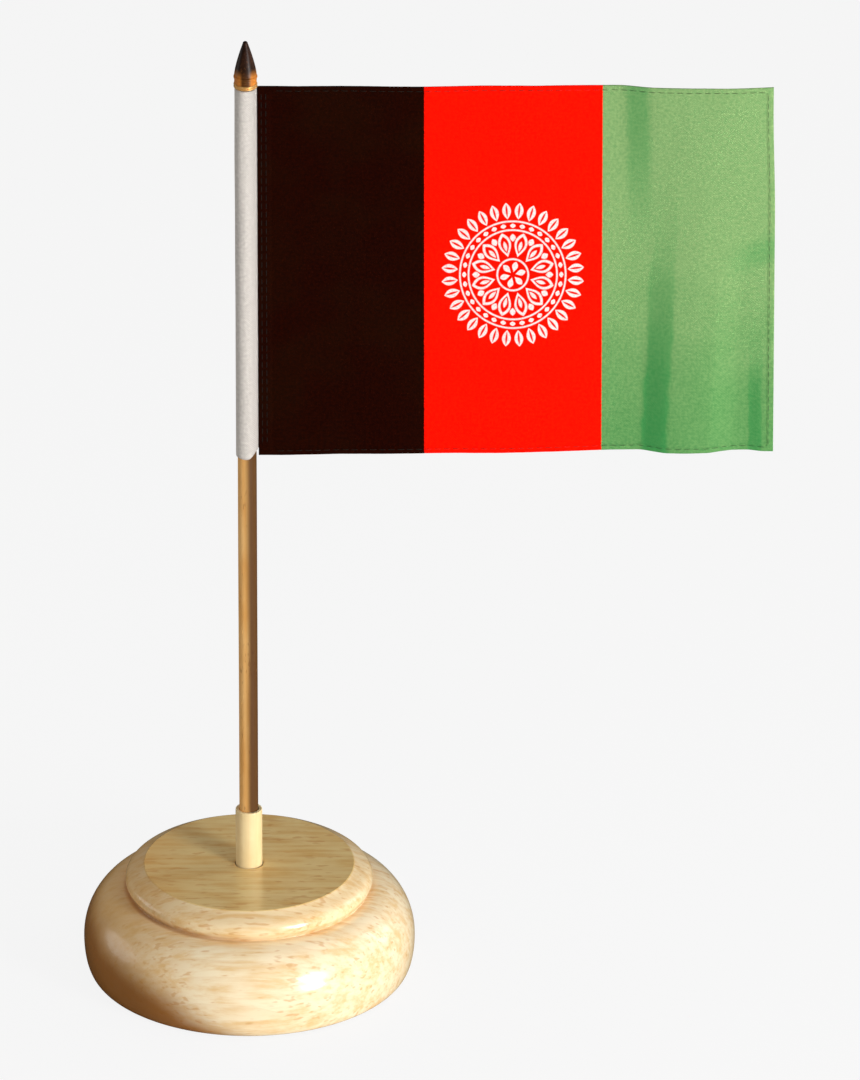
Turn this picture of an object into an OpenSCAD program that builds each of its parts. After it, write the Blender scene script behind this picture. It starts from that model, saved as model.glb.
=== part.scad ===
// Desk flag stand: a turned wooden base, a pole that lifts out of it, and a small flag.
// Frame: millimetres, +Z up, origin at the middle of the face that rests on the desk.
// The pole stands on the Z axis, and the flag flies towards +X in the XZ plane.

/* [Base] */
// Height of the base's flat top above the desk
base_h = 30.2; // [28:0.1:40]
// Largest radius of the base
body_r = 43.5; // [42:0.1:60]
// Height at which the base is widest
belly_h = 9.2; // [7:0.1:12]
// Radius at which the rounded foot meets the underside
foot_r = 41.2; // [38.5:0.1:41.5]
// Radius of the flat top
disc_r = 27.5; // [20:0.1:28]
// Radius of the groove under the raised ring
groove_r = 32; // [31:0.1:33]
// Drop from the flat top down to the groove
ring_drop = 6.8; // [5:0.1:9]

/* [Felt pad] */
// Radius of the felt disc under the base
felt_r = 36; // [30:0.5:37]
// Thickness of the felt
felt_t = 2; // [1.5:0.1:3]
// How far the felt stands proud of the wood
felt_proud = 0.5; // [0.3:0.1:1]

/* [Pole] */
// Diameter of the pole
pole_d = 5; // [4:0.1:6]
// Outer diameter of the socket bush that carries the pole
socket_d = 7; // [6.8:0.1:9]
// Height of the bush above the base's top
socket_stand = 16; // [8:0.5:20]
// Depth of the hole that takes the bush
hole_depth = 20; // [12:0.5:24]

/* [Flag] */
// Height of the flag along the pole
flag_h = 106; // [80:1:150]
// Distance from the pole's axis to the fly edge
flag_reach = 136.6; // [100:0.1:200]
// Height of the flag's lower hoist corner above the desk
flag_z = 149.5; // [120:0.1:180]
// How much the lower edge rises towards the fly
fly_rise = 1.7; // [0:0.1:4]
// Thickness allowed for the cloth
cloth_t = 0.5; // [0.4:0.1:1]
// How far the sleeve's top stops short of the flag's top edge
sleeve_short = 0.3; // [0:0.1:4]

/* [Finial] */
// Height of the gold collar
collar_h = 1.2; // [1:0.1:3]
// Height of the spear cap
cap_h = 11.7; // [9:0.1:20]
// Largest diameter of the spear cap
cap_d = 6.2; // [6:0.1:9]

/* [Hidden] */
$fn = 96;
ARC_STEPS = 14;
EPS = 0.01;

running_gap = 0.05;
glue_gap = 0.02;
floor_gap = 0.2;
edge = 0.4;

// The groove is a small undercut where the domed body meets the ring.
groove_z = base_h - ring_drop;
groove_cut = 0.5;
body_end_angle = 88;
ring_mid_r = disc_r - 3.6;
ring_mid_z = groove_z + 1.9;
ring_low_angle = -20;
ring_high_angle = 62;
felt_gap = 0.2;

socket_r = socket_d / 2;
base_bore_r = socket_r + running_gap;
hole_floor = base_h - hole_depth;
socket_foot = hole_floor + floor_gap;
socket_top = base_h + socket_stand;
socket_floor = 4;

pole_r = pole_d / 2;
pole_bore_r = pole_r + running_gap;
pole_foot = socket_foot + socket_floor + floor_gap;
flag_top = flag_z + flag_h;
sleeve_top = flag_top - sleeve_short;
collar_z = sleeve_top + edge / 4;
cap_z = collar_z + collar_h;
cap_r = cap_d / 2;
cap_socket = 3.4;
cap_skirt = 2.2;
cap_step = 0.15;
cap_tip_r = 0.7;
cap_taper = 1.35;
glue_bore_r = pole_r + glue_gap;
pole_top = cap_z + cap_socket;

sleeve_wall = 0.35;
sleeve_r = pole_bore_r + sleeve_wall;
lip_x = pole_bore_r + 0.1;
lip_t = 0.4;
lip_w = 3.4;
panel_x = sleeve_r + 0.1;
notch_x = cap_r + 0.3;
thread_r = 0.15;
hem_w = 1.6;
seam_x = panel_x + 1.5;
run_gap = 0.6;
hem_x = lip_x + lip_w + run_gap;
hem_span = flag_reach - hem_w - run_gap - hem_x;

// Points on an ellipse, from angle a0 to angle a1.
function arc(centre, radii, a0, a1) = [
    for (i = [0:ARC_STEPS])
        let (a = a0 + (a1 - a0) * i / ARC_STEPS)
        [centre[0] + radii[0] * cos(a), centre[1] + radii[1] * sin(a)]
];

// The rounded foot: from under the base out to its widest point.
function foot_arc() =
    arc([foot_r, belly_h], [body_r - foot_r, belly_h - felt_proud], -90, 0);

// The domed body: from its widest point in to the groove.
function body_arc() =
    arc([groove_r, belly_h], [body_r - groove_r, groove_z - belly_h], 0, body_end_angle);

// The raised ring: from the groove up and in to the edge of the flat top.
function ring_arc() =
    arc([ring_mid_r, ring_mid_z],
        [groove_r + groove_cut - ring_mid_r, (base_h - edge / 3 - ring_mid_z) / sin(ring_high_angle)],
        ring_low_angle, ring_high_angle);

module base_outline() {
    polygon(concat(
        [[0, felt_proud]],
        foot_arc(),
        body_arc(),
        [[groove_r - groove_cut, groove_z]],
        ring_arc(),
        [[disc_r, base_h], [0, base_h]]
    ));
}

// A cylinder along Z whose two ends have small chamfers.
module chamfered_rod(r, h, chamfer) {
    rotate_extrude()
        polygon([[0, 0], [r - chamfer, 0], [r, chamfer], [r, h - chamfer], [r - chamfer, h], [0, h]]);
}

// The hole for the bush, with a small countersink at its mouth.
module base_hole() {
    translate([0, 0, hole_floor])
        cylinder(r = base_bore_r, h = hole_depth + EPS);
    translate([0, 0, base_h - edge])
        cylinder(r1 = base_bore_r, r2 = base_bore_r + edge + EPS, h = edge + EPS);
}

module base() {
    color("burlywood")
    difference() {
        rotate_extrude() base_outline();
        translate([0, 0, felt_proud - EPS])
            cylinder(r = felt_r + felt_gap, h = felt_t - felt_proud + EPS);
        base_hole();
    }
}

module felt_pad() {
    color("darkolivegreen")
    cylinder(r = felt_r, h = felt_t);
}

// The pale bush: it slides into the base and the pole turns in it.
module pole_socket() {
    color("moccasin")
    difference() {
        translate([0, 0, socket_foot])
            chamfered_rod(socket_r, socket_top - socket_foot, edge);
        translate([0, 0, socket_foot + socket_floor])
            cylinder(r = pole_bore_r, h = socket_top - socket_foot);
    }
}

module pole() {
    color("peru")
    translate([0, 0, pole_foot])
        chamfered_rod(pole_r, pole_top - pole_foot, edge / 2);
}

// Half outline of the spear cap: a stepped skirt, then an ogive that ends in a blunt tip.
module cap_outline() {
    foot_w = cap_r - cap_step;
    step_z = cap_skirt / 2;
    ogive_h = cap_h - cap_skirt - cap_tip_r;
    polygon(concat(
        [[0, 0], [foot_w, 0], [foot_w, step_z], [cap_r, step_z + edge], [cap_r, cap_skirt]],
        [for (i = [1:ARC_STEPS])
            let (t = i / ARC_STEPS)
            [cap_r - (cap_r - cap_tip_r) * pow(t, cap_taper), cap_skirt + ogive_h * t]],
        arc([0, cap_h - cap_tip_r], [cap_tip_r, cap_tip_r], 25, 90)
    ));
}

module finial() {
    color("saddlebrown")
    translate([0, 0, cap_z])
    difference() {
        rotate_extrude() cap_outline();
        translate([0, 0, -EPS])
            cylinder(r = glue_bore_r, h = cap_socket + glue_gap + EPS);
    }
}

module finial_collar() {
    color("goldenrod")
    translate([0, 0, collar_z])
    difference() {
        chamfered_rod(cap_r - glue_gap, collar_h, edge / 2);
        translate([0, 0, -EPS])
            cylinder(r = glue_bore_r, h = collar_h + 2 * EPS);
    }
}

// The cloth tube on the pole, with the lip that lies behind the flag's hoist edge.
module flag_sleeve() {
    color("linen")
    translate([0, 0, flag_z])
    difference() {
        union() {
            cylinder(r = sleeve_r, h = sleeve_top - flag_z);
            translate([lip_x, cloth_t / 2, 0])
                cube([lip_w, lip_t, sleeve_top - flag_z]);
        }
        translate([0, 0, -EPS])
            cylinder(r = pole_bore_r, h = sleeve_top - flag_z + 2 * EPS);
    }
}

// The cloth, with a small notch at its top hoist corner that clears the cap and its collar.
module flag_panel() {
    color("crimson")
    translate([0, cloth_t / 2, 0])
    rotate([90, 0, 0])
    linear_extrude(height = cloth_t)
        polygon([[panel_x, flag_z], [flag_reach, flag_z + fly_rise], [flag_reach, flag_top],
                 [notch_x, flag_top], [notch_x, sleeve_top], [panel_x, sleeve_top]]);
}

// One straight run of thread from a point on the cloth's face, upwards.
module run_up(start, length) {
    translate(start)
        cylinder(r = thread_r, h = length);
}

// One straight run of thread towards the fly, climbing by rise over its length.
module run_along(start, length, rise) {
    translate(start)
    rotate([0, 90 - atan2(rise, length), 0])
        cylinder(r = thread_r, h = norm([length, rise]));
}

module sleeve_seam() {
    color("black")
    for (y = [-cloth_t / 2, cloth_t / 2 + lip_t])
        run_up([seam_x, y, flag_z + run_gap], sleeve_top - flag_z - 2 * run_gap);
}

module hem_stitching() {
    color("dimgray")
    for (y = [-cloth_t / 2, cloth_t / 2]) {
        run_along([hem_x, y, flag_top - hem_w], hem_span, 0);
        run_along([hem_x, y, flag_z + hem_w], hem_span, fly_rise);
        run_up([flag_reach - hem_w, y, flag_z + fly_rise + hem_w], flag_h - fly_rise - 2 * hem_w);
    }
}

base();
felt_pad();
pole_socket();
pole();
finial();
finial_collar();
flag_sleeve();
flag_panel();
sleeve_seam();
hem_stitching();
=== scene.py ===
"""Desk flag stand: a turned wooden base, a pole standing in a bush, and a small printed flag.

Metres, in the model's own frame: +Z up, the pole on the Z axis, the flag towards +X with its
front facing -Y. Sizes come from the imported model, and shapes that it can't tell are repeated
here in millimetres, as named values.
"""

import math

import bpy
import numpy as np
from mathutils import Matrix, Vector, noise

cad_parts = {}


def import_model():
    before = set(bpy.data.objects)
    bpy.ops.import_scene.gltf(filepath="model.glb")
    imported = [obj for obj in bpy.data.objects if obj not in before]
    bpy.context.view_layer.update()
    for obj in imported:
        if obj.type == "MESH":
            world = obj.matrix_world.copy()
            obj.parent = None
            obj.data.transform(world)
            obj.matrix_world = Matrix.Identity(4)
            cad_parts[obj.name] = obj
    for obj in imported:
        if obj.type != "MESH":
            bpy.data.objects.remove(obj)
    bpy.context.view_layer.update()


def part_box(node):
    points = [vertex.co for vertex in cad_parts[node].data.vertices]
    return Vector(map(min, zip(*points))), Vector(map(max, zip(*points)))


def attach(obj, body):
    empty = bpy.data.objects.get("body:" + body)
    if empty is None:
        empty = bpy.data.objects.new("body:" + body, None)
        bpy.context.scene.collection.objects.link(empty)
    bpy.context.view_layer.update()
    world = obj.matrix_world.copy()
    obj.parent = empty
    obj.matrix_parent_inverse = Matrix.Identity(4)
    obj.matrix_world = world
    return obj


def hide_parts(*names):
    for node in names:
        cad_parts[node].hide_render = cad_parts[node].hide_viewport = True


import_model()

MM = 0.001

# ---------------------------------------------------------------- sizes, in millimetres


def sizes(node):
    """The lowest and highest corners of a CAD node, in millimetres."""
    low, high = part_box(node)
    return low / MM, high / MM


base_low, base_high = sizes("base")
felt_low, felt_high = sizes("felt_pad")
bush_low, bush_high = sizes("pole_socket")
pole_low, pole_high = sizes("pole")
cap_low, cap_high = sizes("finial")
collar_low, collar_high = sizes("finial_collar")
sleeve_low, sleeve_high = sizes("flag_sleeve")
panel_low, panel_high = sizes("flag_panel")

# The base's turned outline
BASE_R = base_high.x
BASE_TOP = base_high.z
DISC_R = 27.5
GROOVE_R = 32.0
GROOVE_DROP = 6.8
GROOVE_Z = BASE_TOP - GROOVE_DROP
GROOVE_CUT = 0.5
BELLY_Z = 9.2
FOOT_R = 41.2
RING_WAIST = 2.4
EDGE = 0.4
HOLE_R = 3.55
HOLE_DEPTH = 20.0
HOLE_FLOOR = BASE_TOP - HOLE_DEPTH
RECESS_GAP = 0.2
RECESS_R = felt_high.x + RECESS_GAP

# The bush, the pole, its cap and the band
BUSH_R = bush_high.x
BUSH_BORE_R = 2.55
BUSH_SOLID = 4.0
BUSH_FLOOR = bush_low.z + BUSH_SOLID
POLE_R = pole_high.x
CAP_R = cap_high.x
CAP_SKIRT = 2.2
CAP_STEP = 1.1
CAP_TIP_R = 0.7
CAP_TAPER = 1.35
COLLAR_R = collar_high.x

# The cloth's outline, layers and hems
FLAG_LEFT = panel_low.x
FLAG_RIGHT = panel_high.x
FLAG_BOTTOM = panel_low.z
FLAG_TOP = panel_high.z
FLAG_W = FLAG_RIGHT - FLAG_LEFT
FLAG_H = FLAG_TOP - FLAG_BOTTOM
FLY_RISE = 1.7
NOTCH_X = 3.4
NOTCH_Z = sleeve_high.z
CLOTH_T = 0.16
HEM_W = 1.7
HEM_STEP = 0.08
HOIST_FOLD_W = 3.4
HEM_EXTRA = 0.3
FRONT_SHARE = 0.35
BACK_SHARE = 0.65
PANEL_BACK = 0.5 * CLOTH_T + BACK_SHARE * HEM_EXTRA
RIM = 0.22
GRID = 0.85
SLEEVE_T = 0.2
SLEEVE_TAIL = 6.0
AIR = 0.03

# The upright creases: where each meets the lower or upper edge, how far it leans, how deep it is
LOW_CREASE_X = 105.4
LOW_CREASE_LEAN = 4.6
LOW_CREASE_DEPTH = 2.1
TOP_CREASE_X = 100.9
TOP_CREASE_LEAN = 3.0
TOP_CREASE_DEPTH = 1.5
TUCK_X = 131.8

# How far from the pole the seam still flattens the fine wrinkles, and the creases and waves
TIED_W = 9.0
FLAT_W = 26.0

# The stitches
THREAD = 0.22
STITCH_PITCH = 2.4
STITCH_LENGTH = 1.9

# The print, and how much cloth fills one unit of its flat layout
UV_MM = 150.0
STRIPE_1 = 46.0
STRIPE_2 = 92.0
EMBLEM_MID = (68.9, 201.6)
EMBLEM_HALF = (18.6, 20.8)


# ---------------------------------------------------------------- shape helpers


def arc(middle, radii, first, last, steps):
    """Points on an ellipse from the first angle to the last, in degrees."""
    return [
        (middle[0] + radii[0] * math.cos(a), middle[1] + radii[1] * math.sin(a))
        for a in np.radians(np.linspace(first, last, steps + 1))
    ]


def curve(a, b, c, d, steps=26):
    """Points on the curve that leaves a towards b and reaches d from c."""
    a, b, c, d = (Vector(p) for p in (a, b, c, d))

    def at(k):
        start = a * (1 - k) ** 3 + b * 3 * k * (1 - k) ** 2
        return tuple(start + c * 3 * k * k * (1 - k) + d * k**3)

    return [at(i / steps) for i in range(steps + 1)]


def soften(outline, radius, steps=4):
    """Rounds each sharp corner of an outline and holds the arc between two close points."""
    sharp = math.radians(14)
    closest = 0.01
    outline = [b for a, b in zip([(-9, -9)] + outline, outline) if math.dist(a, b) > closest]
    soft = [outline[0]]
    for before, here, after in zip(outline, outline[1:], outline[2:]):
        p, q, r = (Vector(v) for v in (before, here, after))
        arm_in, arm_out = p - q, r - q
        reach = min(radius, 0.4 * arm_in.length, 0.4 * arm_out.length)
        if arm_in.angle(-arm_out, 0.0) < sharp or reach < closest:
            soft.append(here)
            continue
        a = q + arm_in.normalized() * reach
        b = q + arm_out.normalized() * reach
        if arm_in.length > 3 * reach:
            soft.append(tuple(q + arm_in.normalized() * reach * 1.6))
        for i in range(steps + 1):
            k = i / steps
            soft.append(tuple(a.lerp(q, k).lerp(q.lerp(b, k), k)))
        if arm_out.length > 3 * reach:
            soft.append(tuple(q + arm_out.normalized() * reach * 1.6))
    return soft + [outline[-1]]


def build(name, shape, body, node, material, places=None):
    """Makes a smooth piece from points in millimetres, rides it on its body and replaces a node.

    Cloth and thread also get places, each point's own place on the flat cloth.
    """
    points, faces = shape
    mesh = bpy.data.meshes.new(name)
    mesh.from_pydata([Vector(p) * MM for p in points], [], faces)
    mesh.validate()
    mesh.shade_smooth()
    piece = bpy.data.objects.new(name, mesh)
    bpy.context.scene.collection.objects.link(piece)
    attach(piece, body)
    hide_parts(node)
    if places:
        place_uv(mesh, places)
    mesh.materials.append(material)
    return piece


def place_uv(mesh, places):
    """Lays the flat cloth out as a UV map, so that print follows the cloth."""
    layer = mesh.uv_layers.new(name="cloth")
    flat = np.array(places, float) / UV_MM
    corners = np.empty(len(mesh.loops), np.int32)
    mesh.loops.foreach_get("vertex_index", corners)
    layer.uv.foreach_set("vector", flat[corners].astype(np.float32).ravel())


def turned(outline, sides, wander=None):
    """Points and faces of an outline swept about Z. It starts and ends on the axis."""
    points, faces, rings = [], [], []
    for r, z in outline:
        if r < 1e-6:
            rings.append([len(points)])
            points.append((0.0, 0.0, z))
            continue
        rings.append(list(range(len(points), len(points) + sides)))
        for i in range(sides):
            a = 2 * math.pi * i / sides
            reach = r + (wander(a, z) if wander else 0.0)
            points.append((reach * math.cos(a), reach * math.sin(a), z))
    for low, high in zip(rings, rings[1:]):
        for i in range(sides):
            j = (i + 1) % sides
            if len(low) == 1:
                faces.append((low[0], high[j], high[i]))
            elif len(high) == 1:
                faces.append((low[i], low[j], high[0]))
            else:
                faces.append((low[i], low[j], high[j], high[i]))
    return points, faces


def step(x, low, high):
    """0 below low, 1 above high, and a smooth climb between."""
    k = min(max((x - low) / (high - low), 0.0), 1.0)
    return k * k * (3 - 2 * k)


def ramp(x, low, high, rounding):
    """0 below low, 1 above high, and a straight climb between with rounded ends."""
    reach = (high - low) / 2
    k = (x - (low + high) / 2) / reach
    soft = rounding / reach

    def climb(v):
        return math.log1p(math.exp(min(v / soft, 50.0)))

    return 0.5 * soft * (climb(k + 1) - climb(k - 1))


# ---------------------------------------------------------------- wooden and hard pieces


def make_base():
    """The turned base: recess, foot, domed body, groove, raised ring, flat top and hole."""
    recess = soften([(0, felt_high.z), (RECESS_R, felt_high.z), (RECESS_R, base_low.z)], 0.1)
    foot = arc((FOOT_R, BELLY_Z), (BASE_R - FOOT_R, BELLY_Z - base_low.z), -90, 0, 40)
    dome = arc((GROOVE_R, BELLY_Z), (BASE_R - GROOVE_R, GROOVE_Z - BELLY_Z), 0, 88, 44)
    groove = [(GROOVE_R - GROOVE_CUT, GROOVE_Z)]
    waist = GROOVE_Z + RING_WAIST
    ring_r = GROOVE_R + GROOVE_CUT
    ring = arc((ring_r - 1.3, waist), (1.3, 1.6), -50, 0, 10)
    shoulder = (DISC_R + 2.0, BASE_TOP - 1.35)
    ring += curve((ring_r, waist), (ring_r, waist + 2.6), shoulder, (DISC_R, BASE_TOP))
    top = [(DISC_R - 0.12, BASE_TOP), (DISC_R - 0.5, BASE_TOP)]
    top += [(r, BASE_TOP) for r in np.linspace(DISC_R - 1.5, HOLE_R + 1.5, 12)]
    top += [(HOLE_R + EDGE, BASE_TOP), (HOLE_R, BASE_TOP - EDGE)]
    hole = [(HOLE_R, HOLE_FLOOR), (0, HOLE_FLOOR)]
    shape = turned(soften(recess + foot + dome + groove + ring + top + hole, 0.22), 192)
    return build("turned_base", shape, "base", "base", lacquered_wood())


def make_felt():
    """The felt disc: a rounded, fuzzy rim and a slightly uneven underside."""
    r, t = felt_high.x, felt_high.z
    rings = [(k * r, felt_low.z) for k in np.linspace(0, 1, 25)]

    def fuzz(a, z):
        spot = Vector((math.cos(a) * 9, math.sin(a) * 9, z))
        return 0.12 * noise.noise(spot * 2) - 0.12

    points, faces = turned(soften(rings + [(r, t), (0, t)], 0.4), 160, fuzz)
    lifted = []
    for x, y, z in points:
        tuft = 0.05 * (1 + noise.noise(Vector((x, y, 0)) * 0.35))
        lifted.append((x, y, z + tuft if z < t / 2 and math.hypot(x, y) < 0.9 * r else z))
    return build("felt_disc", (lifted, faces), "base", "felt_pad", green_felt())


def make_bush():
    """The pale bush that stands in the base, bored from the top for the pole."""
    outside = [(0, bush_low.z), (BUSH_R, bush_low.z), (BUSH_R, bush_high.z)]
    bore = [(BUSH_BORE_R, bush_high.z), (BUSH_BORE_R, BUSH_FLOOR), (0, BUSH_FLOOR)]
    shape = turned(soften(outside + bore, 0.3, 5), 72)
    return build("pole_bush", shape, "socket", "pole_socket", pale_wood())


def make_pole():
    """The stained dowel, with the slight unevenness of a planed stick."""
    rows = np.linspace(pole_low.z, pole_high.z, 180)
    outline = [(0, pole_low.z)] + [(POLE_R, z) for z in rows] + [(0, pole_high.z)]

    def planed(a, z):
        spot = Vector((math.cos(a) * 1.3, math.sin(a) * 1.3, z * 0.02))
        return 0.035 * noise.noise(spot) - 0.035

    shape = turned(soften(outline, 0.3), 56, planed)
    return build("flag_pole", shape, "flagpole", "pole", stained_wood())


def make_cap():
    """The spear cap: a stepped skirt with a bead, then an ogive that ends in a blunt tip."""
    foot, top = cap_low.z, cap_high.z
    neck_r = CAP_R - 0.18
    length = top - foot - CAP_SKIRT - CAP_TIP_R
    bead = arc((CAP_R - 0.35, foot + 1.75), (0.35, 0.45), -75, 80, 10)
    ogive = [
        (neck_r - (neck_r - CAP_TIP_R) * k**CAP_TAPER, foot + CAP_SKIRT + 0.1 + (length - 0.1) * k)
        for k in np.linspace(0, 1, 28)
    ]
    nose = arc((0, top - CAP_TIP_R), (CAP_TIP_R, CAP_TIP_R), 25, 90, 8)
    skirt = [(0, foot), (CAP_R - 0.2, foot), (CAP_R - 0.2, foot + CAP_STEP)]
    outline = soften(skirt + bead + ogive, 0.12) + nose[:-1] + [(0, top)]
    shape = turned(outline, 72)
    return build("spear_cap", shape, "flagpole", "finial", dark_bronze())


def make_collar():
    """The gold band under the cap: two soft beads with a line between them."""
    sides = 72
    low, high = collar_low.z, collar_high.z
    middle, half = (low + high) / 2, (high - low) / 4
    beads = arc((COLLAR_R - half, low + half), (half, half), -90, 75, 8)
    beads += arc((COLLAR_R - half, high - half), (half, half), -75, 90, 8)
    bore = POLE_R + 0.02
    outline = [(bore, middle), (bore, low + 0.02)] + beads + [(bore, high - 0.02)]
    points, faces = turned(outline, sides)
    last = (len(outline) - 1) * sides
    for i in range(sides):
        j = (i + 1) % sides
        faces.append((last + i, last + j, j, i))
    shape = (points, faces)
    return build("cap_collar", shape, "flagpole", "finial_collar", gold_band())


# ---------------------------------------------------------------- how the cloth lies


def lower_edge(x):
    """Height of the flag's lower edge at a distance from the pole."""
    return FLAG_BOTTOM + FLY_RISE * (x - FLAG_LEFT) / FLAG_W


def free_edges(x, z):
    """Distances from a place on the cloth to its lower, upper and fly edges."""
    return z - lower_edge(x), FLAG_TOP - z, FLAG_RIGHT - x


def crease(x, line, half, rounding, fade):
    """A soft step across an upright line, which dies out towards the fly."""
    return ramp(x, line - half, line + half, rounding) * (1 - step(x, line + 6, FLAG_RIGHT + fade))


def relief(x, z):
    """How far the cloth lies behind the pole's plane, in millimetres. Less is nearer the front."""
    long_wave, short_wave = 88.0, 41.0
    up = (z - FLAG_BOTTOM) / FLAG_H
    along = (x - FLAG_LEFT) / FLAG_W
    # A crease that opens towards the lower edge and one that opens towards the upper edge.
    low_depth = LOW_CREASE_DEPTH * (1 - step(up, 0.15, 0.72))
    low_fold = crease(x, LOW_CREASE_X + LOW_CREASE_LEAN * up, 3.1, 0.35, 6)
    top_depth = TOP_CREASE_DEPTH * step(up, 0.5, 0.98)
    top_fold = crease(x, TOP_CREASE_X + TOP_CREASE_LEAN * (1 - up), 3.2, 0.9, 4)
    # A small tuck beside the fly hem.
    tuck = (1 - step(up, 0.12, 0.34)) * ramp(x, TUCK_X - 1.6, TUCK_X + 1.6, 0.4)
    # Long easy waves, which grow away from the pole.
    wave = 0.75 * along * math.sin(2 * math.pi * (x / long_wave + 0.18 * up) + 0.6)
    wave += 0.25 * math.sin(2 * math.pi * (x / short_wave - 0.25 * up)) * (0.3 + along)
    return wave - low_depth * low_fold - top_depth * top_fold - tuck


def wrinkle(x, z):
    """Fine creases: mostly upright, with a pucker at each stitch of the hems."""
    stitch_line = 1.35
    soft = noise.noise(Vector((x * 0.055, z * 0.022, 3.0)))
    fine = noise.noise(Vector((x * 0.19, z * 0.06, 9.0)))
    below, above, beyond = free_edges(x, z)
    pull = math.exp(-((min(below, above, beyond) - stitch_line) ** 2) / 1.1)
    run = x if min(below, above) < beyond else z
    pucker = pull * math.sin(2 * math.pi * run / STITCH_PITCH)
    return 0.34 * soft + 0.1 * fine + 0.05 * pucker


def cloth_middle(x, z):
    """The cloth's middle surface, and its unit normal towards the front."""
    nudge = 0.2
    tie = step(x, FLAG_LEFT, FLAG_LEFT + TIED_W)
    fly_pull = 0.6 * step(z, 218, 250) * step(x, 120, FLAG_RIGHT)

    def y_at(a, b):
        return relief(a, b) * step(a, FLAG_LEFT, FLAG_LEFT + FLAT_W) + wrinkle(a, b) * tie

    slope_x = (y_at(x + nudge, z) - y_at(x - nudge, z)) / (2 * nudge)
    slope_z = (y_at(x, z + nudge) - y_at(x, z - nudge)) / (2 * nudge)
    normal = Vector((slope_x, -1.0, slope_z)).normalized()
    return Vector((x - fly_pull, y_at(x, z), z)), normal


def hem_depth(x, z):
    """Extra thickness of the folded hems, from 0 in the field to 1 in a hem."""
    folds = [1 - step(e, HEM_W - HEM_STEP, HEM_W + HEM_STEP) for e in free_edges(x, z)]
    folds.append(1 - step(x - FLAG_LEFT, HOIST_FOLD_W - 0.1, HOIST_FOLD_W + 0.1))
    return max(folds)


def round_off(distance):
    """Takes the thickness to nothing round the cloth's outer edge."""
    k = min(max(distance / RIM, 0.0), 1.0)
    return math.sqrt(1 - (1 - k) ** 2)


def faces_of_cloth(x, z):
    """The front and back points of the cloth at a place on it."""
    middle, normal = cloth_middle(x, z)
    rim = round_off(min(*free_edges(x, z), x - FLAG_LEFT))
    extra = HEM_EXTRA * hem_depth(x, z)
    front = middle + normal * (CLOTH_T / 2 + FRONT_SHARE * extra) * rim
    back = middle - normal * (CLOTH_T / 2 + BACK_SHARE * extra) * rim
    return front, back


def hemmed_lines(low, high, spacing, hem, hem_at_low=None):
    """Grid lines from low to high: close together at the edges and at each hem's inner line."""
    near = [0, 0.04, 0.11, 0.22, 0.55, 0.95, 1.35, 1.75]

    def side(width):
        lines = [d for d in near if d < width - 0.2]
        return lines + [width - HEM_STEP, width, width + HEM_STEP, width + 0.35]

    start = side(hem_at_low or hem)
    end = side(hem)
    inner_low, inner_high = low + start[-1], high - end[-1]
    count = int(round((inner_high - inner_low) / spacing))
    inner = list(np.linspace(inner_low, inner_high, count + 1))[1:-1]
    return [low + d for d in start] + inner + [high - d for d in reversed(end)]


def row_height(x, h):
    """Height of a grid row: it follows the edge that it is near, or is spread between them."""
    band, crowding = 3.0, 0.1
    low = lower_edge(x)
    if FLAG_H - h < band:
        z = FLAG_TOP - (FLAG_H - h)
    elif h <= band:
        z = low + h
    else:
        z = low + band + (h - band) * (FLAG_TOP - low - 2 * band) / (FLAG_H - 2 * band)
    if x < NOTCH_X:
        # The hoist's corner ends lower, so its rows crowd under the notch.
        z = min(z, NOTCH_Z - crowding * (FLAG_TOP - z))
    return z


def make_flag():
    """The printed panel: one closed sheet with folded hems, thicker than the field."""
    columns = hemmed_lines(FLAG_LEFT, FLAG_RIGHT, GRID, HEM_W, HOIST_FOLD_W)
    heights = hemmed_lines(0.0, FLAG_H, GRID, HEM_W)
    points, places, front, back = [], [], {}, {}
    last_i, last_j = len(columns) - 1, len(heights) - 1
    for i, x in enumerate(columns):
        for j, h in enumerate(heights):
            z = row_height(x, h)
            near, far = faces_of_cloth(x, z)
            front[i, j] = back[i, j] = len(points)
            points.append(near)
            places.append((x, z))
            if 0 < i < last_i and 0 < j < last_j:
                back[i, j] = len(points)
                points.append(far)
                places.append((x, z))
    faces = []
    for i in range(last_i):
        for j in range(last_j):
            ring = ((i, j), (i + 1, j), (i + 1, j + 1), (i, j + 1))
            faces.append([front[k] for k in ring])
            faces.append([back[k] for k in reversed(ring)])
    shape = (points, faces)
    cloth = printed_cloth()
    return build("flag_cloth", shape, "flagpole", "flag_panel", cloth, places)


def sleeve_path():
    """Middle line of the tape seen from above: behind the panel, round the pole, and back."""
    r = sleeve_high.y - 0.12
    tail = PANEL_BACK + 0.5 * SLEEVE_T + AIR
    rear_tail = tail + SLEEVE_T + AIR
    front = [(x, tail) for x in np.linspace(SLEEVE_TAIL, r + 0.45, 8)]
    front += [(r + 0.2, 0.75 * tail), (r + 0.03, 0.25 * tail)]
    turn = np.radians(np.linspace(-5, -326, 64))
    wrap = [(r * math.cos(a), r * math.sin(a)) for a in turn]
    rear = [(r + 0.1, rear_tail + 0.28), (r + 0.6, rear_tail + 0.04)]
    rear += [(x, rear_tail) for x in np.linspace(r + 1.0, SLEEVE_TAIL, 7)]
    return front + wrap + rear


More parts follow.
